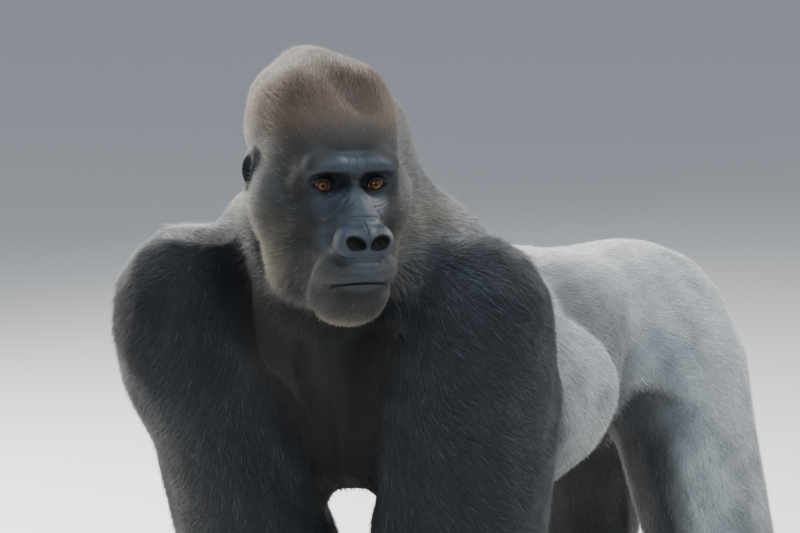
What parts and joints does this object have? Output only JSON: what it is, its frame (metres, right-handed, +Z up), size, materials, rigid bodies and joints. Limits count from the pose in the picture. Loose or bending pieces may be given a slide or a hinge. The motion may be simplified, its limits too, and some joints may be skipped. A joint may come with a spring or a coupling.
{
  "type": "gorilla",
  "caption": "Life-size still model of a silverback western lowland gorilla standing on all fours with its head turned to one side.",
  "frame": {"origin": "on the floor, under the middle of the box round the whole animal", "axes": "+Z up, -Y the way the animal faces, +X to the animal's left"},
  "size_m": [0.637, 1.1622, 1.2101],
  "materials": {
    "coat_dark": "matt black-brown coat",
    "coat_brown": "matt red-brown coat",
    "coat_silver": "matt silver-grey coat",
    "skin": "creased satin skin",
    "eye": "wet gloss"
  },
  "bodies": {
    "root": {"belly": "coat_silver", "chest": "coat_dark", "ear_left": "skin", "ear_right": "skin", "eye_left": "eye", "eye_right": "eye", "foot_left": "skin", "foot_right": "skin", "forearm_left": "coat_dark", "forearm_right": "coat_dark", "hand_left": "skin", "hand_right": "skin", "head": "coat_brown", "neck": "coat_dark", "pelvis": "coat_silver", "shin_left": "coat_dark", "shin_right": "coat_dark", "thigh_left": "coat_silver", "thigh_right": "coat_silver", "upper_arm_left": "coat_dark", "upper_arm_right": "coat_dark"}
  },
  "joints": []
}
